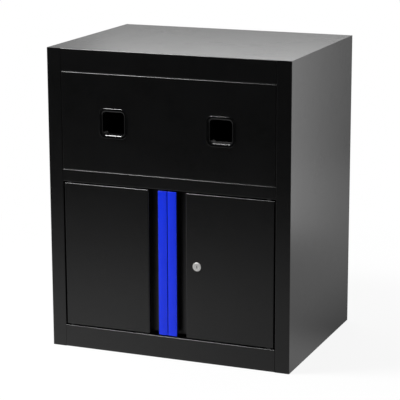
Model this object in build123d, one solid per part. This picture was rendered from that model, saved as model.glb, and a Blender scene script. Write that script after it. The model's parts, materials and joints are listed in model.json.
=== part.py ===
from build123d import *
import math
import os

# A steel workshop cabinet in millimetres: +Z is up and the front faces -Y.
# The origin is at the middle of the underside. A closed bay for hose or cable
# reels sits over a cupboard with two doors.

# Case
width = 680.0
body_depth = 508.0
height = 816.0
sheet = 1.2
bend = 2.0
stile_width = 40.0
jamb_depth = 32.0
rear_flange = 22.0

# Rails and decks, from the floor up
bottom_rail_height = 60.5
deck_height = 493.0
middle_rail_height = 33.0
top_rail_height = 60.5
base_lip = 30.0
middle_lip = 54.0
top_lip = 24.0
post_clearance = 0.5

# Front panel of the reel bay and its two outlets
panel_gap = 0.8
panel_return = 18.0
outlet_spacing = 301.0
outlet_height = 624.5
bezel_size = 80.0
bezel_corner = 17.0
bezel_proud = 2.0
throat_size = 60.0
throat_corner = 9.0
throat_length = 27.0
throat_wall = 2.5
throat_end_round = 1.2
collar_wall = 5.8
collar_length = 8.0
mouth_radius = 5.0
bezel_edge = 1.4
cutout_clearance = 0.3
snap_width = 16.0
snap_height = 2.0
snap_length = 6.0

# Doors
door_gap = 4.0
door_depth = 27.0
door_sheet = 1.0
door_lip = 12.0
grip_bend = 4.0
grip_edge = 52.0
centre_gap = 2.0
handle_width = 24.8
handle_thickness = 3.0
handle_crown = 1.1
handle_edge = 0.8
grip_hem = 9.0
stiffener_width = 64.0
stiffener_foot = 14.0
stiffener_depth = 17.0
rib_clearance = 1.0

# Hinge pins
pivot_inboard = 14.0
pivot_back = 8.0
pin_radius = 4.0
pin_length = 12.0
pin_collar_radius = 7.0
rivet_radius = 3.0
rivet_head = 1.6
rivet_head_radius = 5.0
pin_lead = 1.0
bush_wall = 1.4
bush_flange = 1.3
bush_flange_wall = 3.0
bush_length = 9.0
running_gap = 0.05
free_gap = 0.3
dome_share = 0.6

# Lock
lock_x = 84.0
lock_z = 262.0
lock_head_radius = 11.8
lock_proud = 2.0
lock_body_radius = 9.3
lock_flat = 8.0
lock_length = 17.0
plug_radius = 6.5
plug_face_gap = 0.2
plug_tail = 3.5
key_slot_width = 1.8
key_slot_height = 8.0
key_slot_depth = 11.0
nut_radius = 14.0
nut_thickness = 4.0
cam_radius = 17.0
cam_thickness = 2.0
cam_screw_head = 1.8
cam_screw_head_radius = 5.0
cam_screw_radius = 1.5
cam_screw_length = 7.0
stud_circle = 13.0
stud_radius = 2.5
stud_slack = 0.8
lock_turn = 90.0

# Locking rods
rod_width = 12.0
rod_thickness = 2.5
rod_eye_width = 18.0
rod_eye_height = 15.0
rod_setback = 1.0
rod_tip_radius = 3.0
guide_sheet = 1.5
guide_height = 14.0
guide_foot = 9.0
guide_distance = 95.0

# Slide bolt of the left door
bolt_x = -84.0
bolt_radius = 4.0
bolt_back = 17.0
bolt_length = 62.0
bolt_knob_radius = 5.0
bolt_knob_length = 7.5
bolt_knob_head = 3.0
bolt_knob_round = 0.9
bolt_stem_radius = 2.5
bolt_plate_width = 34.0
bolt_plate_height = 54.0
bolt_ear = 8.0

# Magnetic catches
catch_x = 150.0
catch_width = 46.0
catch_height = 13.0
catch_depth = 21.0
catch_gap = 0.4
catch_screw_spacing = 33.0
catch_screw_back = 12.6
pole_width = 23.0
pole_low = 3.6
pole_spacing = 4.4
strike_width = 40.0
strike_height = 10.0
strike_thickness = 1.2
screw_radius = 2.0
screw_head_radius = 4.0
screw_head = 2.0

# Shelf and its slotted strips
strip_width = 25.0
strip_depth = 10.0
strip_front = 70.0
strip_rear = 55.0
strip_gap = 3.0
slot_height = 14.0
slot_width = 4.0
slot_pitch = 25.0
shelf_slot_count = 7
shelf_thickness = 25.0
shelf_front = 48.0
shelf_side_gap = 1.0
shelf_lip = 15.0
shelf_rear_gap = 6.0
clip_sheet = 1.5
clip_width = 12.0
clip_reach = 13.0

# Back sheet, the supply slot above it and their fasteners
supply_slot = 50.0
trim_wall = 2.4
trim_height = 9.0
trim_round = 1.0
rear_rivet_rows = (0.12, 0.34, 0.56, 0.78, 0.96)
rear_rivet_radius = 2.4
rear_rivet_head = 1.2
rear_rivet_head_radius = 4.5
panel_screw_radius = 2.5
panel_screw_head = 2.8
panel_screw_head_radius = 4.8
panel_screw_inset = 45.0

# Places that follow from the sizes above
front_proud = max(bezel_proud, lock_proud)
front_y = (front_proud - body_depth - rear_rivet_head) / 2
back_y = front_y + body_depth
inside_back = back_y - 2 * sheet
half = width / 2
wall_in = half - sheet
jamb = half - stile_width
top_rail_z = height - top_rail_height
middle_rail_z = deck_height - middle_rail_height
back_top = height - rear_flange - supply_slot
door_bottom = bottom_rail_height + door_gap
door_top = middle_rail_z - door_gap
door_outer = jamb - door_gap
pin_collar = door_gap - bush_flange - free_gap
door_back = front_y + door_depth
skin_back = front_y + door_sheet
pivot_x = door_outer - pivot_inboard
pivot_y = front_y + pivot_back
half_travel = stud_circle * math.sin(math.radians(lock_turn / 2))
stud_inner = stud_circle * math.cos(math.radians(lock_turn / 2))
rod_offset = (stud_circle + stud_inner) / 2
cam_front = front_y + lock_length + free_gap
rod_front = cam_front + cam_thickness + cam_screw_head + free_gap
rod_back = rod_front + rod_thickness
strip_bottom = bottom_rail_height + strip_gap
strip_top = deck_height - rear_flange - strip_gap
shelf_z = strip_bottom + shelf_slot_count * slot_pitch
catch_front = door_back + strike_thickness + catch_gap


def block(x0, x1, y0, y1, z0, z1):
    """Rectangular block between two corners."""
    centre = Pos((x0 + x1) / 2, (y0 + y1) / 2, (z0 + z1) / 2)
    return centre * Box(x1 - x0, y1 - y0, z1 - z0)


def post(x, y, z0, z1, radius):
    """Upright cylinder between two heights."""
    return Pos(x, y, (z0 + z1) / 2) * Cylinder(radius, z1 - z0)


def spindle(x, z, y0, y1, radius):
    """Cylinder lying along Y, between a front and a back plane."""
    return Pos(x, (y0 + y1) / 2, z) * Rot(90, 0, 0) * Cylinder(radius, y1 - y0)


def cross_pin(x0, x1, y, z, radius):
    """Cylinder lying along X."""
    return Pos((x0 + x1) / 2, y, z) * Rot(0, 90, 0) * Cylinder(radius, x1 - x0)


def mirrored(shape):
    """The same piece, or group of pieces, on the other side of the middle."""
    solids = [mirror(solid, about=Plane.YZ) for solid in shape.solids()]
    return solids[0] if len(solids) == 1 else Compound(children=solids)


def inside_line(line, sheet_thickness):
    """The other face of a folded sheet, to the left of the line."""
    starts = []
    for (x0, y0), (x1, y1) in zip(line, line[1:]):
        length = math.hypot(x1 - x0, y1 - y0)
        left = (-(y1 - y0) / length, (x1 - x0) / length)
        shift = (left[0] * sheet_thickness, left[1] * sheet_thickness)
        starts.append(((x0 + shift[0], y0 + shift[1]), (x1 - x0, y1 - y0)))
    points = [starts[0][0]]
    for (a, u), (b, v) in zip(starts, starts[1:]):
        cross = u[0] * v[1] - u[1] * v[0]
        t = ((b[0] - a[0]) * v[1] - (b[1] - a[1]) * v[0]) / cross
        points.append((a[0] + u[0] * t, a[1] + u[1] * t))
    last, way = starts[-1]
    points.append((last[0] + way[0], last[1] + way[1]))
    return points


def at_points(shape, points):
    """The vertices of a flat shape that lie on the given points."""
    return [
        v for v in shape.vertices()
        if any(math.hypot(v.X - x, v.Y - y) < 1e-6 for x, y in points)
    ]


def folded_section(line, sheet_thickness, radius):
    """Section of a sheet folded along a line of points, with the metal on the line's left."""
    inner = inside_line(line, sheet_thickness)
    face = make_face(Polyline(*line, *inner[::-1], close=True))
    wide, tight = [], []
    for i in range(1, len(line) - 1):
        (ax, ay), (bx, by), (cx, cy) = line[i - 1 : i + 2]
        turn = (bx - ax) * (cy - by) - (by - ay) * (cx - bx)
        wide.append(line[i] if turn > 0 else inner[i])
        tight.append(inner[i] if turn > 0 else line[i])
    face = fillet(at_points(face, wide), radius)
    return fillet(at_points(face, tight), radius - sheet_thickness)


def folded_up(line, z0, z1, sheet_thickness, radius):
    """Folded sheet whose section lies in plan and runs from one height to another."""
    section = folded_section(line, sheet_thickness, radius)
    return extrude(Pos(0, 0, z0) * section, amount=z1 - z0)


def folded_across(line, x0, x1, sheet_thickness, radius):
    """Folded sheet whose section is seen from the side and runs along X."""
    section = folded_section(line, sheet_thickness, radius)
    return extrude(Plane.YZ.offset(x0) * section, amount=x1 - x0)


def rounded_front(solid, radius, side_radius):
    """Round the four front edges of a block, the one nearest -X with a radius of its own."""
    side = solid.faces().sort_by(Axis.Y)[0].edges().sort_by(Axis.X)[0]
    solid = fillet(side, side_radius)
    rest = solid.faces().sort_by(Axis.Y)[0].edges().sort_by(Axis.X)[1:]
    return fillet(rest, radius)


def pan(x0, x1, z0, z1, deep, sheet_thickness, radius, side_radius, lip=0.0):
    """Pressed pan with an open back: its face is the front plane and its four sides fold back."""
    outer = rounded_front(block(x0, x1, front_y, front_y + deep, z0, z1), radius, side_radius)
    t = sheet_thickness
    hollow = block(x0 + t, x1 - t, front_y + t, front_y + deep - (t if lip else 0), z0 + t, z1 - t)
    hollow = rounded_front(hollow, radius - t, side_radius - t)
    edge = max(lip, t)
    mouth = block(x0 + edge, x1 - edge, front_y + deep - 2 * t, front_y + deep + t, z0 + edge, z1 - edge)
    return outer - hollow - mouth


def end_plates(y1, z0, z1):
    """The two plates that close a rail's ends and lie against the jambs."""
    plate = block(jamb - sheet, jamb, front_y, y1, z0, z1)
    front_edges = plate.edges().filter_by(Axis.X).group_by(Axis.Y)[0]
    plate = fillet(front_edges, bend)
    return plate + mirrored(plate)


def both_sides(x0, x1, y0, y1, z0, z1):
    """A block and its mirror image."""
    right = block(x0, x1, y0, y1, z0, z1)
    return right + mirrored(right)


def rod_slots(z0, z1, side):
    """Slot for a locking rod, cut from one height to another."""
    x = lock_x + side * rod_offset
    reach = rod_width / 2 + free_gap
    return block(x - reach, x + reach, rod_front - free_gap, rod_back + free_gap, z0, z1)


def pin_holes(z0, z1, radius):
    """Two upright holes on the doors' turning axes."""
    right = post(pivot_x, pivot_y, z0, z1, radius)
    return right + mirrored(right)


def square_tube(x, z, size, corner, y0, y1):
    """Prism along Y with a rounded square section, centred on a point of the front."""
    section = RectangleRounded(size, size, corner)
    return extrude(Plane((x, y1, z), x_dir=(1, 0, 0), z_dir=(0, -1, 0)) * section, amount=y1 - y0)


def panel_screw_places():
    """Heights of the screws that hold the reel bay's front panel."""
    return (deck_height + panel_screw_inset, top_rail_z - panel_screw_inset)


def rear_rivet_places():
    """Seats of the blind rivets: on the side flanges, and on the sheet over the deck and the floor."""
    side = half - rear_flange / 2
    places = [(s * side, back_y, back_top * row) for s in (-1, 1) for row in rear_rivet_rows]
    rows = (bottom_rail_height / 2, deck_height - rear_flange / 2)
    return places + [(s * side / 2, inside_back + sheet, z) for s in (-1, 0, 1) for z in rows]


def rear_rivet_holes(side=0):
    """Holes for the rivets: all of them, or those of one side's flange."""
    places = [(x, z) for x, _, z in rear_rivet_places() if not side or x * side > half / 2 + rear_flange]
    return [spindle(x, z, inside_back - 2 * sheet, back_y + sheet, rear_rivet_radius) for x, z in places]


def side_panel():
    """Right side, with the stile and its jamb in front and a flange behind, all from one sheet."""
    line = [
        (jamb, front_y + jamb_depth),
        (jamb, front_y),
        (half, front_y),
        (half, back_y),
        (half - rear_flange, back_y),
    ]
    shell = folded_up(line, 0, height, sheet, bend)
    shell -= block(jamb - sheet, wall_in, front_y + sheet, back_y + sheet, height - sheet, height + sheet)
    for z in panel_screw_places():
        y = front_y + panel_return / 2
        shell -= cross_pin(jamb - sheet, jamb + 2 * sheet, y, z, panel_screw_radius)
    return shell - rear_rivet_holes(1)


def top_panel():
    """Top with the top rail folded down in front and a flange behind."""
    line = [
        (back_y, height - rear_flange),
        (back_y, height),
        (front_y, height),
        (front_y, top_rail_z),
        (front_y + top_lip, top_rail_z),
    ]
    shell = folded_across(line, -wall_in, wall_in, sheet, bend)
    low = top_rail_z - sheet
    shell -= both_sides(jamb, half, front_y - sheet, front_y + sheet, low, height + sheet)
    shell -= both_sides(jamb, half, front_y - sheet, front_y + top_lip + sheet, low, height - sheet)
    rear_low = height - rear_flange - sheet
    edge = half - rear_flange
    shell -= both_sides(edge, half, inside_back, back_y + sheet, rear_low, height - sheet)
    return shell + end_plates(front_y + top_lip, top_rail_z, height - sheet / 2)


def middle_shelf():
    """Deck between the bay and the cupboard, with the middle rail folded down in front."""
    line = [
        (inside_back, deck_height - rear_flange),
        (inside_back, deck_height),
        (front_y, deck_height),
        (front_y, middle_rail_z),
        (front_y + middle_lip, middle_rail_z),
    ]
    shell = folded_across(line, -wall_in, wall_in, sheet, bend)
    post_back = front_y + jamb_depth + post_clearance
    low = middle_rail_z - sheet
    shell -= both_sides(jamb, half, front_y - sheet, post_back, low, deck_height + sheet)
    shell -= both_sides(jamb, half, front_y, front_y + middle_lip + sheet, low, deck_height - 2 * sheet)
    shell += end_plates(front_y + jamb_depth, middle_rail_z, deck_height)
    lip_low, lip_high = middle_rail_z - sheet, middle_rail_z + 2 * sheet
    shell -= pin_holes(lip_low, lip_high, rivet_radius)
    shell -= rod_slots(lip_low, lip_high, 1)
    shell -= post(bolt_x, front_y + bolt_back, lip_low, lip_high, bolt_radius + free_gap)
    for s in (-1, 1):
        for screw in catch_screw_places(s):
            shell -= post(*screw, lip_low, lip_high, screw_radius)
    return shell - rear_rivet_holes()


def base_panel():
    """Cupboard floor with the bottom rail in front, standing on folded lips."""
    rear = inside_back
    line = [
        (rear - base_lip, 0),
        (rear, 0),
        (rear, bottom_rail_height),
        (front_y, bottom_rail_height),
        (front_y, 0),
        (front_y + base_lip, 0),
    ]
    shell = folded_across(line, -wall_in, wall_in, sheet, bend)
    post_back = front_y + jamb_depth + post_clearance
    high = bottom_rail_height + sheet
    shell -= both_sides(jamb, half, front_y - sheet, post_back, -sheet, high)
    shell += end_plates(front_y + base_lip, 0, bottom_rail_height)
    low = bottom_rail_height - 2 * sheet
    shell -= pin_holes(low, high, rivet_radius)
    shell -= rod_slots(low, high, -1)
    return shell - rear_rivet_holes()


def back_panel():
    """Flat back sheet inside the rear flanges, which stops short of the top for the supply lines."""
    edge = wall_in - bend
    return block(-edge, edge, inside_back, inside_back + sheet, sheet, back_top) - rear_rivet_holes()


def back_rivets():
    """Blind rivets that hold the back sheet."""
    rivets = []
    for x, seat, z in rear_rivet_places():
        head = spindle(x, z, seat, seat + rear_rivet_head, rear_rivet_head_radius)
        head = fillet(head.edges().sort_by(Axis.Y)[-1], rear_rivet_head * dome_share)
        body = spindle(x, z, seat - 2 * sheet - rear_rivet_head, seat, rear_rivet_radius)
        rivets.append(head + body)
    return Compound(children=rivets)


def supply_trim():
    """Rubber channel over the back sheet's upper edge, where the supply lines come in."""
    high, edge = back_top + trim_wall, half - rear_flange - free_gap
    y0, y1 = inside_back - trim_wall, inside_back + sheet + trim_wall
    trim = block(-edge, edge, y0, y1, high - trim_height, high)
    trim = fillet(trim.edges().filter_by(Axis.X), trim_round)
    return trim - block(-half, half, inside_back, inside_back + sheet, 0, back_top)


def reel_bay_panel():
    """Front panel of the reel bay with two square outlets."""
    edge = jamb - panel_gap
    low, high = deck_height + panel_gap, top_rail_z - panel_gap
    shell = pan(-edge, edge, low, high, panel_return, sheet, bend, bend)
    cutout = throat_size + 2 * collar_wall + 2 * cutout_clearance
    for s in (-1, 1):
        x = s * outlet_spacing / 2
        corner = throat_corner + collar_wall
        shell -= square_tube(x, outlet_height, cutout, corner, front_y - sheet, front_y + 2 * sheet)
        for z in panel_screw_places():
            y = front_y + panel_return / 2
            ends = sorted((s * (edge - 2 * sheet), s * (edge + sheet)))
            shell -= cross_pin(*ends, y, z, panel_screw_radius)
    return shell


def panel_screws():
    """Screws through the panel's side returns into the jambs."""
    screws = []
    for s in (-1, 1):
        for z in panel_screw_places():
            y = front_y + panel_return / 2
            inner = jamb - panel_gap - sheet
            shank = cross_pin(inner, jamb + 3 * sheet, y, z, panel_screw_radius)
            head = cross_pin(inner - panel_screw_head, inner, y, z, panel_screw_head_radius)
            rim = head.edges().filter_by(GeomType.CIRCLE).sort_by(Axis.X)[0]
            head = fillet(rim, panel_screw_head * dome_share)
            screw = shank + head
            screws.append(screw if s > 0 else mirrored(screw))
    return Compound(children=screws)


def outlet_bezel(side):
    """Moulded outlet: a rounded square flange whose mouth curves into a straight throat."""
    x, z = side * outlet_spacing / 2, outlet_height
    collar_size = throat_size + 2 * collar_wall
    collar_corner = throat_corner + collar_wall
    sleeve_size = throat_size + 2 * throat_wall
    sleeve_corner = throat_corner + throat_wall
    collar_back = front_y + collar_length
    sleeve_back = front_y + throat_length
    flange = square_tube(x, z, bezel_size, bezel_corner, front_y - bezel_proud, front_y)
    flange = fillet(flange.faces().sort_by(Axis.Y)[0].edges(), bezel_edge)
    collar = square_tube(x, z, collar_size, collar_corner, front_y, collar_back)
    sleeve = square_tube(x, z, sleeve_size, sleeve_corner, collar_back, sleeve_back)
    body = flange + collar + sleeve
    body -= square_tube(x, z, throat_size, throat_corner, front_y - 2 * bezel_proud, sleeve_back + sheet)
    front = body.faces().filter_by(Axis.Y).sort_by(Axis.Y)[0]
    body = fillet(front.inner_wires()[0].edges(), mouth_radius)
    rear = body.faces().filter_by(Axis.Y).sort_by(Axis.Y)[-1]
    body = fillet(rear.inner_wires()[0].edges(), throat_end_round)
    return body + snap_hooks(x, z, collar_size)


def snap_hooks(x, z, collar_size):
    """Four wedges on the collar that catch behind the panel's sheet."""
    start = front_y + sheet + cutout_clearance / 2
    root = collar_size / 2
    wedge = make_face(
        Polyline(
            (root - throat_wall / 2, start),
            (root + snap_height, start),
            (root, start + snap_length),
            (root - throat_wall / 2, start + snap_length),
            close=True,
        )
    )
    hook = extrude(Pos(0, 0, -snap_width / 2) * wedge, amount=snap_width)
    hooks = [Pos(x, 0, z) * Rot(0, 90 * k, 0) * hook for k in range(4)]
    return Compound(children=hooks)


def door_shell():
    """Right door: a lipped pan, then a folded channel and hem beside the middle to pull on."""
    shell = pan(
        grip_edge, door_outer, door_bottom, door_top,
        door_depth, door_sheet, bend, grip_bend, door_lip,
    )
    near = centre_gap / 2
    hem_x = near + handle_width
    behind_handle = front_y + handle_thickness
    line = [
        (grip_edge + door_sheet / 2, door_back),
        (near, door_back),
        (near, behind_handle),
        (hem_x, behind_handle),
        (hem_x, behind_handle + grip_hem),
    ]
    shell += folded_up(line, door_bottom, door_top, door_sheet, bend)
    bush = pin_radius + running_gap + bush_wall
    shell -= post(pivot_x, pivot_y, door_bottom - sheet, door_bottom + 2 * sheet, bush)
    shell -= post(pivot_x, pivot_y, door_top - 2 * sheet, door_top + sheet, bush)
    return shell


def door_skin_right():
    """Right door with the lock's hole and the rods' slots."""
    shell = door_shell()
    hole = spindle(lock_x, lock_z, front_y - sheet, front_y + 2 * sheet, lock_body_radius)
    low, high = door_bottom + 2 * door_sheet, door_top - 2 * door_sheet
    slots = rod_slots(high, door_top + sheet, 1) + rod_slots(door_bottom - sheet, low, -1)
    return shell - hole - slots


def door_skin_left():
    """Left door with the hole for its slide bolt."""
    shell = mirrored(door_shell())
    y = front_y + bolt_back
    return shell - post(bolt_x, y, door_top - 2 * sheet, door_top + sheet, bolt_radius + free_gap)


def door_stiffener():
    """Hat section down the back of the right door's face."""
    middle = (grip_edge + door_outer) / 2
    out = stiffener_width / 2
    crown = out - stiffener_foot
    deep = skin_back + stiffener_depth
    line = [
        (middle - out, skin_back + door_sheet),
        (middle - crown, skin_back + door_sheet),
        (middle - crown, deep),
        (middle + crown, deep),
        (middle + crown, skin_back + door_sheet),
        (middle + out, skin_back + door_sheet),
    ]
    low = door_bottom + door_sheet + rib_clearance
    return folded_up(line[::-1], low, door_top - door_sheet - rib_clearance, door_sheet, bend)


def handle_strip():
    """Coloured strip with a crowned face on the right door's grip."""
    near, far = centre_gap / 2, centre_gap / 2 + handle_width
    shoulder, rear = front_y + handle_crown, front_y + handle_thickness
    crown = ThreePointArc((near, shoulder), ((near + far) / 2, front_y), (far, shoulder))
    sides = Polyline((far, shoulder), (far, rear), (near, rear), (near, shoulder))
    strip = extrude(make_face(Curve() + [crown, sides]), door_top - door_bottom)
    strip = Pos(0, 0, door_bottom) * strip
    return fillet(strip.faces().sort_by(Axis.Y)[0].edges(), handle_edge)


def hinge_pins():
    """The right door's two pins, riveted into the floor and the middle rail."""
    low = post(pivot_x, pivot_y, bottom_rail_height, door_bottom + pin_length, pin_radius)
    low = chamfer(low.edges().sort_by(Axis.Z)[-1], pin_lead)
    low += post(pivot_x, pivot_y, bottom_rail_height, bottom_rail_height + pin_collar, pin_collar_radius)
    under = bottom_rail_height - sheet
    low += post(pivot_x, pivot_y, under, bottom_rail_height, rivet_radius)
    low += post(pivot_x, pivot_y, under - rivet_head, under, rivet_head_radius)
    high = post(pivot_x, pivot_y, door_top - pin_length, middle_rail_z, pin_radius)
    high = chamfer(high.edges().sort_by(Axis.Z)[0], pin_lead)
    high += post(pivot_x, pivot_y, middle_rail_z - pin_collar, middle_rail_z, pin_collar_radius)
    over = middle_rail_z + sheet
    high += post(pivot_x, pivot_y, middle_rail_z, over, rivet_radius)
    high += post(pivot_x, pivot_y, over, over + rivet_head, rivet_head_radius)
    return Compound(children=[low, high])


def hinge_bushes():
    """Flanged plastic bushes in the right door's bottom and top flanges."""
    bore = pin_radius + running_gap
    wide = bore + bush_wall
    flange = bore + bush_flange_wall
    low = post(pivot_x, pivot_y, door_bottom, door_bottom + bush_length, wide)
    low += post(pivot_x, pivot_y, door_bottom - bush_flange, door_bottom, flange)
    low -= post(pivot_x, pivot_y, door_bottom - door_gap, door_bottom + 2 * bush_length, bore)
    high = post(pivot_x, pivot_y, door_top - bush_length, door_top, wide)
    high += post(pivot_x, pivot_y, door_top, door_top + bush_flange, flange)
    high -= post(pivot_x, pivot_y, door_top - 2 * bush_length, door_top + door_gap, bore)
    return Compound(children=[low, high])


def lock_housing():
    """Nickel-plated cylinder housing with a rounded head and two flats."""
    head = spindle(lock_x, lock_z, front_y - lock_proud, front_y, lock_head_radius)
    head = fillet(head.edges().sort_by(Axis.Y)[0], lock_proud * dome_share)
    body = spindle(lock_x, lock_z, front_y, front_y + lock_length, lock_body_radius)
    reach = 2 * lock_head_radius
    for s in (-1, 1):
        ends = sorted((lock_z + s * lock_flat, lock_z + s * reach))
        body -= block(lock_x - reach, lock_x + reach, skin_back, front_y + 2 * lock_length, *ends)
    bore = plug_radius + running_gap
    return head + body - spindle(lock_x, lock_z, front_y - 2 * lock_proud, front_y + 2 * lock_length, bore)


def lock_nut():
    """Thin hexagon nut that clamps the housing to the door."""
    section = RegularPolygon(nut_radius, 6)
    plane = Plane((lock_x, skin_back + nut_thickness, lock_z), x_dir=(1, 0, 0), z_dir=(0, -1, 0))
    nut = extrude(plane * section, amount=nut_thickness)
    return nut - spindle(lock_x, lock_z, front_y, front_y + lock_length, lock_body_radius)


def lock_plug():
    """Turning core with the keyway in its face and a square tail for the cam."""
    face = front_y - lock_proud + plug_face_gap
    end = cam_front - plug_face_gap / 2
    plug = spindle(lock_x, lock_z, face, end, plug_radius)
    plug = chamfer(plug.edges().sort_by(Axis.Y)[0], plug_face_gap)
    wide, tall = key_slot_width / 2, key_slot_height / 2
    plug -= block(
        lock_x - wide, lock_x + wide,
        face - lock_proud, face + key_slot_depth,
        lock_z - tall, lock_z + tall,
    )
    half_tail = plug_tail
    tail = block(
        lock_x - half_tail, lock_x + half_tail,
        end, cam_front + cam_thickness,
        lock_z - half_tail, lock_z + half_tail,
    )
    thread = spindle(lock_x, lock_z, cam_screw_start(), cam_front + 2 * cam_thickness, cam_screw_radius)
    return plug + tail - thread


def cam_screw_start():
    """Where the tip of the cam's screw lies, as y."""
    return cam_front + cam_thickness - cam_screw_length


def stud_place(side):
    """Where a cam stud stands when the lock is open, as x and z."""
    return lock_x + side * stud_inner, lock_z - side * half_travel


def lock_cam():
    """Disc on the plug's tail with two studs that drive the rods."""
    back = cam_front + cam_thickness
    cam = spindle(lock_x, lock_z, cam_front, back, cam_radius)
    half_tail = plug_tail + running_gap
    cam -= block(
        lock_x - half_tail, lock_x + half_tail,
        cam_front - sheet, back + sheet,
        lock_z - half_tail, lock_z + half_tail,
    )
    for side in (-1, 1):
        x, z = stud_place(side)
        cam += spindle(x, z, back, rod_back + free_gap, stud_radius)
    return cam


def cam_screw():
    """Screw that holds the cam on the plug."""
    back = cam_front + cam_thickness
    head = spindle(lock_x, lock_z, back, back + cam_screw_head, cam_screw_head_radius)
    edge = head.edges().filter_by(GeomType.CIRCLE).sort_by(Axis.Y)[-1]
    head = fillet(edge, cam_screw_head * dome_share)
    return head + spindle(lock_x, lock_z, cam_screw_start(), back, cam_screw_radius)


def lock_rod(side):
    """Flat rod with a slotted eye on its stud: side 1 runs up and side -1 runs down."""
    x = lock_x + side * rod_offset
    eye_z = lock_z - side * half_travel
    tip = door_top - rod_setback if side > 0 else door_bottom + rod_setback
    low, high = sorted((eye_z, tip))
    bar = block(x - rod_width / 2, x + rod_width / 2, rod_front, rod_back, low, high)
    tips = bar.edges().filter_by(Axis.Y).sort_by(Axis.Z)
    bar = fillet(tips[-2:] if side > 0 else tips[:2], rod_tip_radius)
    plane = Plane((x, rod_back, eye_z), x_dir=(1, 0, 0), z_dir=(0, -1, 0))
    outline = RectangleRounded(rod_eye_width, rod_eye_height, rod_tip_radius)
    eye = extrude(plane * outline, amount=rod_thickness)
    slot_high = 2 * (stud_radius + stud_slack)
    slot_long = (stud_circle - stud_inner) + slot_high
    back_plane = Plane((x, rod_back + sheet, eye_z), x_dir=(1, 0, 0), z_dir=(0, -1, 0))
    slot = extrude(back_plane * SlotOverall(slot_long, slot_high), amount=rod_thickness + 2 * sheet)
    return bar + eye - slot


def rod_guide(side):
    """Bracket on the door's face that a rod slides through."""
    x = lock_x + side * rod_offset
    z = lock_z + side * guide_distance
    inner = rod_width / 2 + free_gap + guide_sheet
    back = rod_back + free_gap + guide_sheet
    foot = skin_back + guide_sheet
    line = [
        (x - inner - guide_foot, foot),
        (x - inner, foot),
        (x - inner, back),
        (x + inner, back),
        (x + inner, foot),
        (x + inner + guide_foot, foot),
    ]
    low = z - guide_height / 2
    return folded_up(line[::-1], low, low + guide_height, guide_sheet, bend)


def strike_plate():
    """Steel plate on the right door's top lip, for the magnet."""
    low = door_top - door_lip + rib_clearance
    return block(
        catch_x - strike_width / 2, catch_x + strike_width / 2,
        door_back, door_back + strike_thickness,
        low, low + strike_height,
    )


def catch_screw_places(side):
    """Centres of the two screws of a magnetic catch, as x and y."""
    y = catch_front + catch_screw_back
    return [(side * catch_x + k * catch_screw_spacing / 2, y) for k in (-1, 1)]


def magnetic_catch():
    """Catch under the middle rail's lip, with two pole plates in its face."""
    front = catch_front
    low = middle_rail_z - catch_height
    left, right = catch_x - catch_width / 2, catch_x + catch_width / 2
    case = block(left, right, front + screw_radius, front + catch_depth, low, middle_rail_z)
    case = fillet(case.edges().filter_by(Axis.Z), screw_radius)
    near, far = catch_x - pole_width / 2, catch_x + pole_width / 2
    for z in (low + pole_low, low + pole_low + pole_spacing):
        case += block(near, far, front, front + 2 * screw_radius, z, z + strike_thickness)
    for x, y in catch_screw_places(1):
        case -= post(x, y, low - sheet, middle_rail_z + sheet, screw_radius)
    return case


def catch_screws():
    """Screws of both catches, driven up into the rail's lip."""
    screws = []
    low = middle_rail_z - catch_height
    for side in (-1, 1):
        for x, y in catch_screw_places(side):
            head = post(x, y, low - screw_head, low, screw_head_radius)
            head = fillet(head.edges().sort_by(Axis.Z)[0], screw_head * dome_share)
            screws.append(head + post(x, y, low, middle_rail_z + 3 * sheet, screw_radius))
    return Compound(children=screws)


def bolt_bracket():
    """Plate with two ears that carries the left door's slide bolt."""
    y = front_y + bolt_back
    low = door_top - door_lip - bolt_plate_height
    x0, x1 = bolt_x - bolt_plate_width / 2, bolt_x + bolt_plate_width / 2
    shell = block(x0, x1, skin_back, skin_back + guide_sheet, low, low + bolt_plate_height)
    ear_back = y + bolt_radius + guide_sheet
    ear_x = bolt_radius + 2 * guide_sheet
    for z in (low + bolt_ear, low + bolt_plate_height - bolt_ear):
        shell += block(bolt_x - ear_x, bolt_x + ear_x, skin_back, ear_back, z - guide_sheet, z)
        shell -= post(bolt_x, y, z - 2 * guide_sheet, z + guide_sheet, bolt_radius + running_gap)
    return shell


def slide_bolt():
    """Round bolt with a thumb knob, drawn back from the middle rail."""
    y = front_y + bolt_back
    top = door_top - rod_setback
    bolt = post(bolt_x, y, top - bolt_length, top, bolt_radius)
    bolt = chamfer(bolt.edges().sort_by(Axis.Z)[-1], pin_lead)
    knob_z = door_top - door_lip - bolt_plate_height / 2
    knob_y = y + bolt_radius + bolt_knob_length
    knob = spindle(bolt_x, knob_z, y, knob_y, bolt_stem_radius)
    head = spindle(bolt_x, knob_z, knob_y - bolt_knob_head, knob_y, bolt_knob_radius)
    return bolt + knob + fillet(head.edges().filter_by(GeomType.CIRCLE), bolt_knob_round)


def strip_place(side, y_middle):
    """Corner lines of a slotted strip, folded as a shallow hat against a side wall."""
    wall, crown = wall_in, wall_in - strip_depth
    a, b = y_middle - strip_width / 2, y_middle + strip_width / 2
    return [(wall, a), (crown, a), (crown, b), (wall, b)]


def strip_middles():
    """Where the front and rear strips stand, as y."""
    front = front_y + jamb_depth + strip_front
    return front, inside_back - strip_rear


def slotted_strip(y_middle):
    """Right-hand upright with a row of slots for the shelf clips."""
    line = strip_place(1, y_middle)[::-1]
    strip = folded_up(line, strip_bottom, strip_top, sheet, bend)
    crown = wall_in - strip_depth
    count = int((strip_top - strip_bottom - slot_pitch) // slot_pitch) + 1
    cuts = []
    for k in range(count):
        z = strip_bottom + slot_pitch * (k + 0.5)
        cuts.append(block(
            crown - sheet, crown + 2 * sheet,
            y_middle - slot_width / 2, y_middle + slot_width / 2,
            z - slot_height / 2, z + slot_height / 2,
        ))
    return strip - cuts


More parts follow.
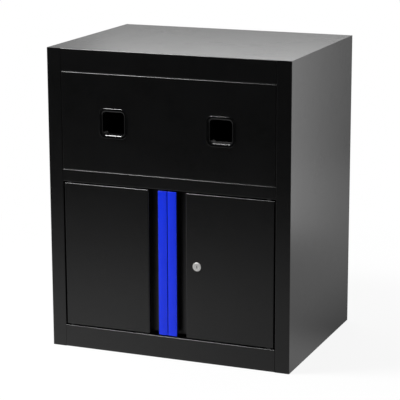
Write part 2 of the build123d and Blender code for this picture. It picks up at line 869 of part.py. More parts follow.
def shelf():
    """Adjustable shelf with four folded edges."""
    edge = wall_in - strip_depth - shelf_side_gap
    y0, y1 = front_y + shelf_front, inside_back - shelf_rear_gap
    z0, z1 = shelf_z, shelf_z + shelf_thickness
    outer = block(-edge, edge, y0, y1, z0, z1)
    outer = fillet(outer.faces().sort_by(Axis.Z)[-1].edges(), bend)
    t = sheet
    hollow = block(-edge + t, edge - t, y0 + t, y1 - t, z0 + t, z1 - t)
    mouth = block(
        -edge + shelf_lip, edge - shelf_lip,
        y0 + shelf_lip, y1 - shelf_lip,
        z0 - t, z0 + 2 * t,
    )
    return outer - hollow - mouth


def shelf_clips():
    """Four hooks in the strips' slots, under the shelf's lips."""
    clips = []
    crown = wall_in - strip_depth
    slot_middle = strip_bottom + slot_pitch * (shelf_slot_count - 0.5)
    for y in strip_middles():
        plate = block(
            crown - clip_sheet, crown,
            y - clip_width / 2, y + clip_width / 2,
            slot_middle - slot_height / 2, shelf_z - clip_sheet,
        )
        ledge = block(
            crown - clip_reach, crown,
            y - clip_width / 2, y + clip_width / 2,
            shelf_z - clip_sheet, shelf_z,
        )
        tongue = block(
            crown - clip_sheet, crown + 2 * sheet + clip_sheet,
            y - clip_sheet / 2, y + clip_sheet / 2,
            slot_middle - slot_height / 2 + running_gap, slot_middle + slot_height / 4,
        )
        clip = plate + ledge + tongue
        clips += [clip, mirrored(clip)]
    return Compound(children=clips)


def all_parts():
    """Every piece of the cabinet by its node name."""
    front_strip, rear_strip = strip_middles()
    return {
        "side_panel_right": side_panel(),
        "side_panel_left": mirrored(side_panel()),
        "top_panel": top_panel(),
        "middle_shelf": middle_shelf(),
        "base_panel": base_panel(),
        "back_panel": back_panel(),
        "back_rivets": back_rivets(),
        "supply_trim": supply_trim(),
        "reel_bay_panel": reel_bay_panel(),
        "reel_panel_screws": panel_screws(),
        "outlet_bezel_left": outlet_bezel(-1),
        "outlet_bezel_right": outlet_bezel(1),
        "shelf_strip_front_left": mirrored(slotted_strip(front_strip)),
        "shelf_strip_front_right": slotted_strip(front_strip),
        "shelf_strip_rear_left": mirrored(slotted_strip(rear_strip)),
        "shelf_strip_rear_right": slotted_strip(rear_strip),
        "adjustable_shelf": shelf(),
        "shelf_clips": shelf_clips(),
        "hinge_pins_left": mirrored(hinge_pins()),
        "hinge_pins_right": hinge_pins(),
        "magnetic_catch_left": mirrored(magnetic_catch()),
        "magnetic_catch_right": magnetic_catch(),
        "catch_screws": catch_screws(),
        "door_skin_left": door_skin_left(),
        "door_skin_right": door_skin_right(),
        "door_stiffener_left": mirrored(door_stiffener()),
        "door_stiffener_right": door_stiffener(),
        "handle_strip_left": mirrored(handle_strip()),
        "handle_strip_right": handle_strip(),
        "hinge_bushes_left": mirrored(hinge_bushes()),
        "hinge_bushes_right": hinge_bushes(),
        "strike_plate_left": mirrored(strike_plate()),
        "strike_plate_right": strike_plate(),
        "bolt_bracket": bolt_bracket(),
        "slide_bolt": slide_bolt(),
        "lock_housing": lock_housing(),
        "lock_nut": lock_nut(),
        "lock_plug": lock_plug(),
        "lock_cam": lock_cam(),
        "cam_screw": cam_screw(),
        "lock_rod_upper": lock_rod(1),
        "lock_rod_lower": lock_rod(-1),
        "rod_guide_upper": rod_guide(1),
        "rod_guide_lower": rod_guide(-1),
    }


os.makedirs("parts", exist_ok=True)
for name, shape in all_parts().items():
    export_step(shape, f"parts/{name}.step")
    print(name, round(shape.volume / 1000, 2), "cm3")
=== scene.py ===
# %% [markdown]
# This lesson dresses a black steel workshop cabinet. Its solids come from a CAD
# model that is loaded as a fixed frame, so no panel or door is modelled again.
# What is left to do here is the camera, the light, the finishes of steel, paint
# and plastic, and the small fasteners, whose heads show more than the solids
# have. The front of the cabinet looks towards -Y, and Z is up.

# %% Load the frame
import bmesh
import bpy
import json
import math
from mathutils import Matrix, Vector


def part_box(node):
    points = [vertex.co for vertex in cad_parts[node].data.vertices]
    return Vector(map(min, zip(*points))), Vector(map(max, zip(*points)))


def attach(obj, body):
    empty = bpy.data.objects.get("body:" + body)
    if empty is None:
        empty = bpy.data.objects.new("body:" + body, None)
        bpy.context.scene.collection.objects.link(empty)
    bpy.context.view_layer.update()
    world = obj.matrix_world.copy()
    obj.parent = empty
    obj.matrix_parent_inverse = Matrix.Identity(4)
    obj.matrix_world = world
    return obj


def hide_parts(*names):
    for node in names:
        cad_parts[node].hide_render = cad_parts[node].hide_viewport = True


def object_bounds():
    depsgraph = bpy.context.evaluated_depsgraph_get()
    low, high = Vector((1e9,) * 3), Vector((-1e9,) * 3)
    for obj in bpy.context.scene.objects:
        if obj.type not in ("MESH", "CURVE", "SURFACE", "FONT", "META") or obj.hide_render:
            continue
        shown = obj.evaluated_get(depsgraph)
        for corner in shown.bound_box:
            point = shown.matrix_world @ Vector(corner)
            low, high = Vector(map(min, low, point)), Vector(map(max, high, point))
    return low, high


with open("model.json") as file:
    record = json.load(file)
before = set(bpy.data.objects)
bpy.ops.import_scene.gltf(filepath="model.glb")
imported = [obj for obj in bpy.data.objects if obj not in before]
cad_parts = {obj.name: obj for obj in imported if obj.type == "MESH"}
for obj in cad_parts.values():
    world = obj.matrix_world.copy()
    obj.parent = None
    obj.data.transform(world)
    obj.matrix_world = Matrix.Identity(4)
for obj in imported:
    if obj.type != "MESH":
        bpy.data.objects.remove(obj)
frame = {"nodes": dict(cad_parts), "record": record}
cad_low, cad_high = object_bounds()
case_height = cad_high.z - cad_low.z
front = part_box("side_panel_right")[0].y
print("case", round(case_height, 4), "m high, its front at", round(front, 4))

# %% [markdown]
# A plain camera stands to the right of the cabinet and a little above it. It
# could be placed by eye, but its direction and distance were worked out from the
# corners that the photograph shows, because a rebuilt object can only be judged
# from the same place. The lens is long and the camera far away, so that the
# case's edges stay almost parallel.

# %% Camera
picture_side = 400
sensor_width = 36.0
lens_in_pixels = 1676.7
view_turn = math.radians(22.18)
view_rise = math.radians(13.36)
view_roll = math.radians(-0.175)
view_distance = 5.629 * case_height
aim_right = -0.0116 * case_height
aim_up = -0.0360 * case_height

to_camera = Vector((
    math.sin(view_turn) * math.cos(view_rise),
    -math.cos(view_turn) * math.cos(view_rise),
    math.sin(view_rise),
))
level_right = Vector((math.cos(view_turn), math.sin(view_turn), 0.0))
level_up = to_camera.cross(level_right)
rolled_right = math.cos(view_roll) * level_right + math.sin(view_roll) * level_up
rolled_up = math.cos(view_roll) * level_up - math.sin(view_roll) * level_right
middle = Vector((0.0, 0.0, case_height / 2))
stand = middle + to_camera * view_distance + level_right * aim_right + level_up * aim_up


def into_scene(name, data):
    """A new object in the scene."""
    item = bpy.data.objects.new(name, data)
    bpy.context.scene.collection.objects.link(item)
    return item


camera_data = bpy.data.cameras.new("camera")
camera_data.sensor_width = sensor_width
camera_data.lens = sensor_width * lens_in_pixels / picture_side
camera = into_scene("camera", camera_data)
camera.matrix_world = Matrix((
    (rolled_right.x, rolled_up.x, to_camera.x, stand.x),
    (rolled_right.y, rolled_up.y, to_camera.y, stand.y),
    (rolled_right.z, rolled_up.z, to_camera.z, stand.z),
    (0.0, 0.0, 0.0, 1.0),
))
bpy.context.scene.camera = camera
bpy.context.scene.view_settings.view_transform = "Standard"
print("lens", round(camera_data.lens, 1), "mm at", round(view_distance, 2), "m")

# %% [markdown]
# Finishes are small sums of textures. Blender's node editor would need a box and
# two wires for each sum, which is hard to read as a script. This class wraps the
# output of a node, so that a sum such as 1 - mask adds its Math node by itself.
# Every other node comes from its one method, node.


# %% Shader maths
def feed(node, values):
    """Link each wire to its socket of a node, and set each plain value."""
    for key, value in values.items():
        if isinstance(value, Wire):
            node.id_data.links.new(value.socket, node.inputs[key])
        else:
            node.inputs[key].default_value = value


class Wire:
    """The output of a node, ready for sums."""

    def __init__(self, tree, socket=None):
        self.tree = tree
        self.socket = socket

    def node(self, kind, settings=None, inputs=None, output=0):
        """Add a node, set it up, feed its sockets and return one of its outputs."""
        new = self.tree.nodes.new(kind)
        for name, value in (settings or {}).items():
            setattr(new, name, value)
        feed(new, inputs or {})
        return Wire(self.tree, new.outputs[output])

    def math(self, operation, *values):
        """A Math node on plain numbers and wires."""
        return self.node("ShaderNodeMath", {"operation": operation}, dict(enumerate(values)))

    def axis(self, letter):
        """One part of a vector: X, Y or Z."""
        return self.node("ShaderNodeSeparateXYZ", {}, {0: self}, letter)

    def length(self):
        """The length of a vector."""
        return self.node("ShaderNodeVectorMath", {"operation": "LENGTH"}, {0: self}, "Value")

    def __abs__(self):
        return self.math("ABSOLUTE", self)

    def __add__(self, other):
        return self.math("ADD", self, other)

    def __sub__(self, other):
        return self.math("SUBTRACT", self, other)

    def __rsub__(self, other):
        return self.math("SUBTRACT", other, self)

    def __mul__(self, other):
        return self.math("MULTIPLY", self, other)

    __radd__ = __add__
    __rmul__ = __mul__


def spread(value, low, high, to_low=0.0, to_high=1.0):
    """A value stretched from one range to another, smoothly and without leaving it."""
    ends = {"From Min": low, "From Max": high, "To Min": to_low, "To Max": to_high}
    return value.node(
        "ShaderNodeMapRange", {"interpolation_type": "SMOOTHSTEP"}, {"Value": value, **ends}
    )


print("shader maths ready")

# %% [markdown]
# The cabinet stands in a plain studio. The world shows white to the camera. To
# everything else it is bright behind the cabinet and to both sides of it, and
# dim towards the camera. Black paint shows hardly any colour of its own, only
# what it mirrors, so this is what keeps the front black while the top and the
# side, seen at a low angle, shine grey. A picture of a real studio could light
# it too, but two smooth ramps over the direction need no file.

# %% World
pure_white = (1.0, 1.0, 1.0, 1.0)
dim_side = 0.015       # towards the camera
bright_side = 0.60     # behind the cabinet and to both sides
sideways_share = 0.7   # how far a direction to the side counts as one to the back
ramp = (-0.2, 0.6)     # from dim to bright, as parts of a direction of length 1
below_horizon = 0.5    # the share of the light that is left below the horizon
horizon = (-0.3, 0.1)  # from below it to above it, measured in the same way

world = bpy.data.worlds.new("studio")
bpy.context.scene.world = world
world.use_nodes = True
room = Wire(world.node_tree)
looking = room.node("ShaderNodeTexCoord", output="Generated")
away_from_front = looking.axis("Y") + sideways_share * abs(looking.axis("X"))
level = spread(away_from_front, *ramp, dim_side, bright_side)
level = level * spread(looking.axis("Z"), *horizon, below_horizon, 1.0)
seen = room.node("ShaderNodeLightPath", output="Is Camera Ray")
background = world.node_tree.nodes["Background"]
feed(background, {"Color": pure_white, "Strength": seen + (1 - seen) * level})
print("world from", dim_side, "to", bright_side)

# %% [markdown]
# The floor is one pale disc. The camera sees it white, with a tenth of its real
# shading near the cabinet, which leaves a faint shadow there. In mirrors it glows
# by place: most right in front of the cabinet, fading forwards and to the right,
# and again to both sides behind it. The doors mirror the first glow, so they get
# lighter towards their feet, and the side mirrors the second. Lamps could do the
# same, but they would also light the paint, and the glow only shows in gloss.

# %% Floor
floor_radius = 2.4
floor_corners = 96
turns = [math.tau * k / floor_corners for k in range(floor_corners)]
rim = [(floor_radius * math.cos(turn), floor_radius * math.sin(turn), 0.0) for turn in turns]
floor_mesh = bpy.data.meshes.new("studio_floor")
floor_mesh.from_pydata(rim, [], [list(range(floor_corners))])
floor = into_scene("studio_floor", floor_mesh)
print("floor radius", floor_radius)

# %% The floor's paint
front_glow = 0.78            # at its strongest, close to the cabinet's front
front_glow_at_right = 0.60   # the share of it that is left on the right
side_glow = 0.50             # behind the front line, far out to either side
middle_glow = 0.22           # behind the front line, near the middle
shadow_share = 0.1           # of the floor's real shading, near the cabinet
# Each glow rises or falls between two places, in metres from the middle.
front_reach = (-2.2, -0.3)
left_to_right = (-0.4, 0.4)
under_the_case = (-0.2, 0.2)
out_to_a_side = (0.25, 0.6)
behind_the_front = (-0.4, 0.1)
shadow_reach = (0.5, 1.5)

pale = bpy.data.materials.new("pale_floor")
pale.use_nodes = True
pale.node_tree.nodes.clear()
ground = Wire(pale.node_tree)
spot = ground.node("ShaderNodeTexCoord", output="Object")
across, along = spot.axis("X"), spot.axis("Y")
camera_ray, glossy_ray, clear_ray = (
    ground.node("ShaderNodeLightPath", output=f"Is {ray} Ray")
    for ray in ("Camera", "Glossy", "Transmission")
)
in_mirrors = glossy_ray.math("MAXIMUM", glossy_ray, clear_ray)
to_the_eye = camera_ray * spread(spot.length(), *shadow_reach, 1.0 - shadow_share, 1.0)

in_front = spread(along, *front_reach, 0.0, front_glow)
in_front = in_front * spread(across, *left_to_right, 1.0, front_glow_at_right)
in_front = in_front * spread(along, *under_the_case, 1.0, 0.0)
beside = spread(abs(across), *out_to_a_side, middle_glow, side_glow)
beside = beside * spread(along, *behind_the_front)
glow = (in_front + beside) * in_mirrors + camera_ray

matt = ground.node("ShaderNodeBsdfDiffuse", {}, {"Color": (0.8, 0.8, 0.8, 1.0)})
white = ground.node("ShaderNodeEmission", {}, {"Color": pure_white, "Strength": glow})
surface = ground.node("ShaderNodeMixShader", {}, {0: to_the_eye + in_mirrors, 1: matt, 2: white})
feed(pale.node_tree.nodes.new("ShaderNodeOutputMaterial"), {"Surface": surface})
floor_mesh.materials.append(pale)
print("floor glows up to", front_glow, "in front and", side_glow, "beside")

# %% [markdown]
# Four soft lamps stand round the cabinet. The key lights the colours of the
# strips and the lock. The overhead lamp is small and strong, and draws the thin
# light line along each fold that faces up. The one behind gives the top its
# gradient, and the card at the side brightens the side's upper part. Points or
# spots would do this with hard edges, so all four are area lamps.


# %% Lamps
def softbox(name, place, target, size, power):
    """A rectangular lamp that faces a point, its size in metres and its power in watts."""
    data = bpy.data.lights.new(name, "AREA")
    data.shape = "RECTANGLE"
    data.size, data.size_y = size
    data.energy = power
    away = Vector(place) - Vector(target)
    turn = away.to_track_quat("Z", "Y").to_matrix().to_4x4()
    into_scene(name, data).matrix_world = Matrix.Translation(place) @ turn
    print("lamp", name, "of", power, "W")


softbox("key", (-1.9, -1.7, 3.0), (0.0, 0.0, 0.45), size=(1.3, 1.1), power=42.0)
softbox("overhead", (-1.0, -0.8, 2.6), (0.0, -0.2, 0.6), size=(0.6, 0.6), power=75.0)
softbox("from_behind", (-0.28, 0.98, 1.50), (-0.05, 0.0, 0.8), size=(1.0, 0.6), power=6.6)
softbox("side_card", (1.09, 1.06, 0.45), (0.72, 0.16, 0.45), size=(0.55, 1.3), power=3.0)

# %% [markdown]
# Every finish starts from the same few steps: a material, the object's own
# coordinates, some noise for what changes over the surface, and a bump for its
# relief. An image texture would need a file and an unwrapped mesh. Noise on
# object coordinates needs neither, and its scale is the number of changes in a
# metre on every piece, whatever the piece's size.

# %% Textures
finishes = {}


def new_finish(name):
    """A material kept by its slot's name: its shader, and the object's own coordinates."""
    material = bpy.data.materials.new(name)
    material.use_nodes = True
    finishes[name] = material
    tree = material.node_tree
    place = Wire(tree).node("ShaderNodeTexCoord", output="Object")
    return tree.nodes["Principled BSDF"], place


def noise(place, scale, detail=2.0, stretch=None):
    """Smooth random values from 0 to 1, with about one change in every 1 / scale metres."""
    if stretch:
        place = place.node("ShaderNodeMapping", {}, {"Vector": place, "Scale": stretch})
    values = {"Vector": place, "Scale": scale, "Detail": detail}
    return place.node("ShaderNodeTexNoise", {}, values, "Fac")


def between(mask, dark, light):
    """A colour that goes from one to the other as the mask goes from 0 to 1."""
    colours = {0: mask, 6: (*dark, 1.0), 7: (*light, 1.0)}
    return mask.node("ShaderNodeMix", {"data_type": "RGBA"}, colours, output=2)


def bumps(height, distance):
    """Surface relief as a normal. The distance is the height's full range in metres."""
    values = {"Height": height, "Distance": distance, "Strength": 1.0}
    return height.node("ShaderNodeBump", {}, values)


print("textures ready")

# %% [markdown]
# Nearly all of the cabinet is steel with a black powder coat. The powder melts
# into a film with a very fine orange peel. Its bumps are too many to model, so
# they are a noise with about one bump per millimetre and a half. Slow changes of
# roughness, about a hand's width apart, stand for the film's uneven flow. The
# shelf gets a rougher coat than the case and the doors.

# %% Powder coat
coat_black = (0.0021, 0.0021, 0.0022), (0.0034, 0.0034, 0.0036)
shelf_black = (0.0035, 0.0035, 0.0037), (0.0060, 0.0060, 0.0063)


def powder_coat(name, blacks, roughness, peel):
    """Black powder coat with an orange peel of the given height in metres."""
    shader, place = new_finish(name)
    flow = noise(place, 9.0, 3.0)
    grain = noise(place, 650.0, 2.0)
    speckle = noise(place, 2400.0, 1.0)
    feed(shader, {
        "Base Color": between(flow, *blacks),
        "Roughness": roughness + 0.05 * flow + 0.06 * speckle,
        "Normal": bumps(grain + 0.3 * speckle, peel),
        "IOR": 1.5,
    })


powder_coat("case", coat_black, roughness=0.23, peel=0.00002)
powder_coat("door", coat_black, roughness=0.23, peel=0.00002)
powder_coat("shelf_steel", shelf_black, roughness=0.36, peel=0.00003)
print("powder coats", sorted(finishes))

# %% [markdown]
# The grip strips are painted a strong blue over a drawn profile. Drawing leaves
# hair-fine lines along the strip. They could be modelled as grooves, but they are
# thinner than a tenth of a millimetre, so they are a noise that is stretched
# along the strip's height. The index of refraction is low, because the paint
# mirrors less than the powder coat beside it and its blue stays pure.

# %% Blue strips
shader, place = new_finish("handle")
lines = noise(place, 1.0, 2.0, stretch=(2600.0, 2600.0, 14.0))
drift = noise(place, 12.0, 2.0)
feed(shader, {
    "Base Color": between(drift, (0.0, 0.024, 0.78), (0.0, 0.031, 0.86)),
    "Roughness": 0.30 + 0.08 * lines,
    "Normal": bumps(lines, 0.00001),
    "IOR": 1.35,
})
print("grip strips painted")

# %% [markdown]
# The outlets are moulded in a hard black plastic. Their flange is polished, so
# that it catches a light line round the mouth, and the throat behind it is left a
# little rougher. One mask over the depth makes both finishes on one piece, which
# needs no second material and has no hard seam.

# %% Outlet plastic
throat_depth = 0.004
shader, place = new_finish("bezel")
grain = noise(place, 1800.0, 2.0)
inside = spread(place.axis("Y"), front, front + throat_depth)
feed(shader, {
    "Base Color": between(grain, (0.0015, 0.0015, 0.0016), (0.0030, 0.0030, 0.0032)),
    "Roughness": 0.13 + 0.10 * inside + 0.05 * grain,
    "Normal": bumps(grain, 0.00001),
    "IOR": 1.5,
})
print("outlets polished as far as", round(front, 4))

# %% [markdown]
# Three small dark finishes follow one recipe, so one helper makes them: the
# rubber channel over the back sheet's edge, the plastic of the hinge bushes, and
# the black oxide on the hinge pins. They differ in the size of their grain, in
# how matt they are and in how deep the grain goes.


# %% Rubber, bushes and blackened pins
def dark_finish(name, scale, dark, light, roughness, change, relief):
    """A dark finish with one grain that moves its colour, its roughness and its relief."""
    shader, place = new_finish(name)
    grain = noise(place, scale, 3.0)
    feed(shader, {
        "Base Color": between(grain, dark, light),
        "Roughness": roughness + change * grain,
        "Normal": bumps(grain, relief),
    })
    print(name, "with", scale, "grains in a metre")


dark_finish("rubber", 1200.0, (0.012, 0.012, 0.012), (0.022, 0.021, 0.020), 0.68, 0.15, 0.00004)
dark_finish("bush", 500.0, (0.010, 0.010, 0.011), (0.020, 0.020, 0.021), 0.42, 0.10, 0.00003)
dark_finish("pivot", 700.0, (0.010, 0.010, 0.011), (0.024, 0.024, 0.026), 0.34, 0.14, 0.00001)

# %% [markdown]
# A magnetic catch is a black plastic box with the bare ends of two steel poles in
# its front. The poles could be pieces of their own, but they stand out by less
# than the plastic's edge, so a mask over the depth turns that front into steel.

# %% Catches
pole_length = 0.0018
pole_seam = 0.0003
shader, place = new_finish("catch")
grain = noise(place, 900.0, 3.0)
pole_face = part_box("magnetic_catch_right")[0].y
pole_root = pole_face + pole_length
steel = 1 - spread(place.axis("Y"), pole_root, pole_root + pole_seam)
feed(shader, {
    "Base Color": between(steel, (0.02, 0.02, 0.021), (0.55, 0.55, 0.54)),
    "Roughness": 0.5 + 0.12 * grain - 0.15 * steel,
    "Metallic": steel,
    "Normal": bumps(grain, 0.00003),
})
print("catches, their poles in front of", round(pole_root, 4))

# %% [markdown]
# The lock's head is turned and has a satin nickel plating. Turning
# leaves rings round its axis, so the relief depends only on the distance from
# that axis, which works on the flat face and on the rounded rim alike. A mask
# of depth and distance paints shade into the keyway, so that it stays dark.
# Without this painted shade the bright walls would light each other.

# %% Nickel
lock_low, lock_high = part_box("lock_housing")
lock_x = (lock_low.x + lock_high.x) / 2
lock_z = (lock_low.z + lock_high.z) / 2
plug_low, plug_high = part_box("lock_plug")
plug_face = plug_low.y
plug_radius = (plug_high.x - plug_low.x) / 2
# Depths in the keyway where the painted shade starts and where it is full.
shade_starts_at, full_shade_from = 0.0003, 0.0012   # depths in the keyway
seam = (0.0001, 0.0003)                  # from the plug's edge to the housing

shader, place = new_finish("lock")
to_axis = {"Vector": place, "Location": (-lock_x, 0.0, -lock_z)}
centred = place.node("ShaderNodeMapping", {}, to_axis)
without_depth = {0: centred, 1: (1.0, 0.0, 1.0)}
radius = centred.node("ShaderNodeVectorMath", {"operation": "MULTIPLY"}, without_depth).length()
per_metre = {"W": radius, "Scale": 5200.0, "Detail": 2.0}
rings = radius.node("ShaderNodeTexNoise", {"noise_dimensions": "1D"}, per_metre, "Fac")
stain = noise(place, 260.0, 3.0)
# Painted shade: inside the keyway, behind the plug's face, the colour goes to near black.
behind_face = spread(place.axis("Y"), plug_face + shade_starts_at, plug_face + full_shade_from)
in_housing = spread(radius, *(plug_radius + edge for edge in seam))
keyway_painted_shade = behind_face * (1 - in_housing)
plating_and_keyway_shade = (0.92 + 0.08 * stain) * (1 - keyway_painted_shade)
feed(shader, {
    "Base Color": between(plating_and_keyway_shade, (0.03, 0.03, 0.03), (0.98, 0.97, 0.95)),
    "Metallic": 1.0,
    "Roughness": 0.48 + 0.10 * rings + 0.06 * stain,
    "Normal": bumps(rings, 0.00001),
})
print("lock at", round(lock_x, 4), round(lock_z, 4))

# %% [markdown]
# Rods, screws and rivets are bright zinc. Its thin passivation shifts a little
# between blue and yellow over a few centimetres, and the plating is finely
# mottled. One flat grey would look like plastic, so both changes are in.

# %% Zinc
bluish, yellowish = (0.56, 0.60, 0.64), (0.66, 0.64, 0.58)
shader, place = new_finish("zinc")
mottle = noise(place, 380.0, 4.0)
shift = noise(place, 45.0, 2.0)
feed(shader, {
    "Base Color": between(spread(shift, 0.35, 0.65), bluish, yellowish),
    "Metallic": 1.0,
    "Roughness": 0.26 + 0.20 * mottle,
    "Normal": bumps(mottle, 0.00002),
})
print(len(finishes), "finishes")

# %% [markdown]
# Rivets and screws repeat, so one small Geometry Nodes tree places all of them.
# It takes a cloud of points, each with the direction that its head looks in, and
# one fastener that stands upright on the origin. Every copy also gets a turn of
# its own about its axis, because nobody lines up the slots of real screws.
# Copies made by hand would each need their own place and turn.

# %% Fastener tree
fastening = bpy.data.node_groups.new("fastening", "GeometryNodeTree")
inputs = {
    "Seats": "NodeSocketGeometry",
    "Fastener": "NodeSocketObject",
    "Turn Spread": "NodeSocketFloat",
    "Seed": "NodeSocketInt",
    "Metal": "NodeSocketMaterial",
}
for label, kind in inputs.items():
    fastening.interface.new_socket(label, in_out="INPUT", socket_type=kind)
fastening.interface.new_socket("Fasteners", in_out="OUTPUT", socket_type="NodeSocketGeometry")
given = fastening.nodes.new("NodeGroupInput")
seats, fastener, turn_spread, seed, metal = (
    Wire(fastening, given.outputs[label]) for label in inputs
)
facing = seats.node(
    "GeometryNodeInputNamedAttribute", {"data_type": "FLOAT_VECTOR"}, {"Name": "facing"}
)
upright = facing.node("FunctionNodeAlignRotationToVector", {"axis": "Z"}, {"Vector": facing})
own_turn = seed.node(
    "FunctionNodeRandomValue", {"data_type": "FLOAT"}, {2: 0.0, 3: turn_spread, "Seed": seed}, 1
)
about_axis = own_turn.node("FunctionNodeAxisAngleToRotation", {}, {"Angle": own_turn})
rotation = upright.node(
    "FunctionNodeRotateRotation", {"rotation_space": "LOCAL"}, {0: upright, 1: about_axis}
)
shape = fastener.node("GeometryNodeObjectInfo", {}, {"Object": fastener}, "Geometry")
copies = seats.node(
    "GeometryNodeInstanceOnPoints", {}, {"Points": seats, "Instance": shape, "Rotation": rotation}
)
real = copies.node("GeometryNodeRealizeInstances", {}, {"Geometry": copies})
coated = real.node("GeometryNodeSetMaterial", {}, {"Geometry": real, "Material": metal})
feed(fastening.nodes.new("NodeGroupOutput"), {"Fasteners": coated})
print("tree with", len(fastening.nodes), "nodes")

# %% [markdown]
# The CAD model holds all rivets of the back in one node, and the screws of a kind
# in another, each as a plain turned solid. Their places could be typed in again,
# but then a change to the model would leave them behind. So this cell takes each
# node apart into its separate solids and reads the places from their boxes.


# %% Where the fasteners sit
def islands(name):
    """The boxes of a CAD node's separate solids, sorted by their lowest corners.

    A set hands out its members in a different order each time, and every
    fastener's turn depends on its place in the list, so the list is sorted.
    """
    copy = bmesh.new()
    copy.from_mesh(frame["nodes"][name].data)
    bmesh.ops.remove_doubles(copy, verts=copy.verts, dist=1e-6)
    unseen = set(copy.verts)
    boxes = []
    while unseen:
        fresh = [unseen.pop()]
        corners = []
        while fresh:
            vert = fresh.pop()
            corners.append(vert.co.copy())
            for edge in vert.link_edges:
                neighbour = edge.other_vert(vert)
                if neighbour in unseen:
                    unseen.remove(neighbour)
                    fresh.append(neighbour)
        boxes.append(tuple(
            Vector([end(corner[axis] for corner in corners) for axis in range(3)])
            for end in (min, max)
        ))
    copy.free()
    return sorted(boxes, key=lambda box: [round(side, 4) for side in box[0]])


def seats_of(name, head_height, facing_of):
    """The seat under each fastener's head and the way the head looks, for a CAD node."""
    found = []
    for low, high in islands(name):
        centre = (low + high) / 2
        facing = Vector(facing_of(centre))
        reach = (high - low).dot(Vector([abs(part) for part in facing])) / 2
        found.append((centre + facing * (reach - head_height), facing))
    return found


for name in ("back_rivets", "reel_panel_screws", "catch_screws", "cam_screw"):
    boxes = islands(name)
    sides = [round(1000 * side, 2) for side in boxes[0][1] - boxes[0][0]]
    print(name, len(boxes), "solids of", sides, "mm")

# %% [markdown]
# A fastener is a turned part. Its outline runs from the tip on the axis round the
# shank and the head back to the axis, and one helper sweeps it through a full
# turn. Blender's Screw modifier can do this too, but the helper closes both poles
# with single points. Heads look smooth but for the few sharp steps of the
# outline, so edges steeper than half a right angle stay sharp.

# %% Turning
sharp_from = math.radians(45)


def turned(name, outline, sides=28):
    """A closed solid turned about Z. The outline is a list of radius and height pairs."""
    shape = bmesh.new()
    turns = [math.tau * k / sides for k in range(sides)]
    rings = []
    for radius, height in outline:
        if radius == 0.0:
            rings.append([shape.verts.new((0.0, 0.0, height))] * sides)
        else:
            rings.append([
                shape.verts.new((radius * math.cos(turn), radius * math.sin(turn), height))
                for turn in turns
            ])
    for below, above in zip(rings, rings[1:]):
        for k in range(sides):
            after = (k + 1) % sides
            corners = [below[k], below[after], above[after], above[k]]
            shape.faces.new(list(dict.fromkeys(corners)))
    bmesh.ops.recalc_face_normals(shape, faces=shape.faces)
    mesh = bpy.data.meshes.new(name)
    shape.to_mesh(mesh)
    shape.free()
    mesh.shade_smooth()
    mesh.set_sharp_from_angle(angle=sharp_from)
    return into_scene(name, mesh)


def arc(radius, height, size, start, end, steps=6):
    """Points of a round corner in an outline, by angles in degrees from the outward side."""
    angles = [math.radians(start + (end - start) * k / steps) for k in range(steps + 1)]
    return [(radius + size * math.cos(a), height + size * math.sin(a)) for a in angles]


def applied(item):
    """The object's mesh after its modifiers, which takes the place of the mesh it had."""
    evaluated = item.evaluated_get(bpy.context.evaluated_depsgraph_get())
    mesh = bpy.data.meshes.new_from_object(evaluated)
    item.modifiers.clear()
    item.data = mesh
    return mesh


def fasten(name, seats, pattern, turn_spread, seed, slot, body, node):
    """Put a copy of the pattern on every seat, as one plain mesh that stands for a CAD node."""
    cloud = bpy.data.meshes.new(name)
    cloud.from_pydata([seat for seat, _ in seats], [], [])
    directions = cloud.attributes.new("facing", "FLOAT_VECTOR", "POINT")
    for item, (_, facing) in zip(directions.data, seats):
        item.vector = facing
    piece = into_scene(name, cloud)
    modifier = piece.modifiers.new("fastening", "NODES")
    modifier.node_group = fastening
    settings = {
        "Fastener": pattern, "Turn Spread": turn_spread, "Seed": seed, "Metal": finishes[slot],
    }
    for item in fastening.interface.items_tree:
        if item.name in settings:
            modifier[item.identifier] = settings[item.name]
    faces = len(applied(piece).polygons)
    bpy.data.objects.remove(pattern)
    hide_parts(node)
    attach(piece, body)
    print(name, len(seats), "copies,", faces, "faces")


print("turning ready")

# %% [markdown]
# The back is held by blind rivets. Their pin snaps off when they are set, which
# leaves a small hole in the domed head with the pin's end deep inside, and a
# bulb on the hidden side where the shank has spread behind the sheets. A ball on
# a stick would pass from afar, but the hole is what tells a rivet from a screw.

# %% Blind rivets
head_height = 0.0012
head_radius = 0.0045
head_rim = 0.0003      # the straight edge under the dome
dome = 0.0009          # the radius of the dome's curve
dome_inset = 0.0024    # from the head's edge to the centre of that curve
shank_radius = 0.0024
stack = 0.0024         # the sheets between the head and the bulb
bulb_radius = 0.0033
bulb_end = -0.0056
bulb_foot = 0.0012     # the radius at the bulb's end
bulb_shoulder = 0.0010
pin_hole = 0.0013
hole_lip = 0.0002
pin_end = -0.0007

outline = [(0.0, bulb_end)]
outline += arc(bulb_radius - bulb_foot, bulb_end + bulb_foot, bulb_foot, -90, 0)
outline += arc(bulb_radius - bulb_shoulder, -stack - bulb_shoulder, bulb_shoulder, 0, 60)
outline += [(shank_radius, -stack), (shank_radius, 0.0)]
outline += [(head_radius, 0.0), (head_radius, head_rim)]
outline += arc(head_radius - dome_inset, head_height - dome, dome, 50, 90)
outline += arc(pin_hole + hole_lip, head_height - hole_lip, hole_lip, 90, 180, 3)
outline += [(pin_hole, pin_end), (0.0004, pin_end + 0.0001), (0.0, pin_end + 0.0003)]
rivet = turned("rivet", outline)
rivet_seats = seats_of("back_rivets", head_height, lambda centre: (0.0, 1.0, 0.0))
fasten("blind_rivets", rivet_seats, rivet, math.tau, 3, "zinc", "cabinet", "back_rivets")

# %% [markdown]
# The screws have pan heads with a cross recess. The recess is cut with a Boolean
# from a plus-shaped punch that narrows towards its tip, like the driver's. A
# pressed-in dent made by hand would need new faces all over the head, and the
# Boolean keeps the outline simple.


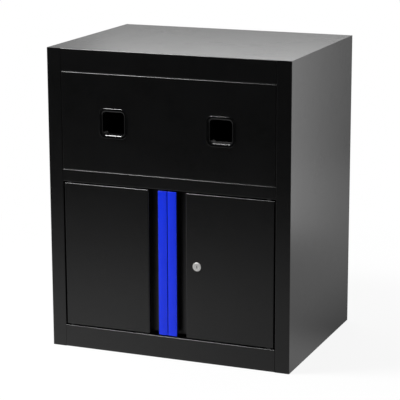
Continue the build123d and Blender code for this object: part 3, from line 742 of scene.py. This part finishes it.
# %% Punch for the recess
def plus_shape(reach, half_width, height):
    """The twelve corners of a plus sign at one height, one arm after the other."""
    arm = [(reach, half_width), (half_width, half_width), (half_width, reach)]
    corners = []
    for _ in range(4):
        corners += [(x, y, height) for x, y in arm]
        arm = [(-y, x) for x, y in arm]
    return corners


def punch_for(head_radius, head_height):
    """A cross-shaped punch that stands in the head and reaches out of its top."""
    above_head = head_height + 0.001
    wide = plus_shape(0.58 * head_radius, 0.13 * head_radius, above_head)
    narrow = plus_shape(0.30 * head_radius, 0.07 * head_radius, 0.25 * head_height)
    count = len(wide)
    ends = [tuple(reversed(range(count))), tuple(range(count, 2 * count))]
    sides = [(k, (k + 1) % count, count + (k + 1) % count, count + k) for k in range(count)]
    mesh = bpy.data.meshes.new("punch")
    mesh.from_pydata(narrow + wide, [], ends + sides)
    return into_scene("punch", mesh)


print("punch with", len(plus_shape(1.0, 0.5, 0.0)), "corners at each end")


# %% Pan-head screws
def pan_screw(name, head_radius, head_height, shank_radius, length):
    """A screw with a domed head and a cross recess, its head's underside at the origin."""
    rounding = 0.6 * head_height
    flat_top = 0.3 * head_radius
    point = 0.6 * shank_radius
    outline = [(0.0, -length), (point, -length), (shank_radius, -length + 0.5 * shank_radius)]
    outline += [(shank_radius, 0.0), (head_radius, 0.0)]
    outline += arc(head_radius - rounding, head_height - rounding, rounding, 0, 80)
    outline += [(flat_top, head_height), (0.0, head_height)]
    screw = turned(name, outline)
    punch = punch_for(head_radius, head_height)
    cut = screw.modifiers.new("recess", "BOOLEAN")
    cut.operation = "DIFFERENCE"
    cut.object = punch
    applied(screw).set_sharp_from_angle(angle=sharp_from)
    bpy.data.objects.remove(punch)
    return screw


def drive(name, node, body, head_height, shank_radius, seed, facing_of):
    """Put cross-recessed screws where a CAD node has its plain ones, at their size."""
    low, high = islands(node)[0]
    _, head_width, whole_length = sorted(high - low)
    length = whole_length - head_height
    screw = pan_screw(name + "_pattern", head_width / 2, head_height, shank_radius, length)
    seats = seats_of(node, head_height, facing_of)
    fasten(name, seats, screw, math.tau / 4, seed, "zinc", body, node)


drive(
    "bay_panel_screws", "reel_panel_screws", "cabinet",
    head_height=0.0028, shank_radius=0.0025, seed=5,
    facing_of=lambda centre: (-math.copysign(1.0, centre.x), 0.0, 0.0),
)
drive(
    "magnet_screws", "catch_screws", "cabinet",
    head_height=0.0020, shank_radius=0.0020, seed=8,
    facing_of=lambda centre: (0.0, 0.0, -1.0),
)
drive(
    "cam_fixing_screw", "cam_screw", "lock_core",
    head_height=0.0018, shank_radius=0.0015, seed=2,
    facing_of=lambda centre: (0.0, 1.0, 0.0),
)

# %% [markdown]
# Every solid of the CAD model came in with a plain material, and the record says
# which finish each one has. Assigning to the material slots is enough: the meshes
# stay as they are.

# %% Give every node its finish
slot_of = {part["node"]: part["material_slot"] for part in frame["record"]["subparts"]}
for name, solid in frame["nodes"].items():
    for material_slot in solid.material_slots:
        material_slot.material = finishes[slot_of[name]]
print("finishes on", len(frame["nodes"]), "nodes")
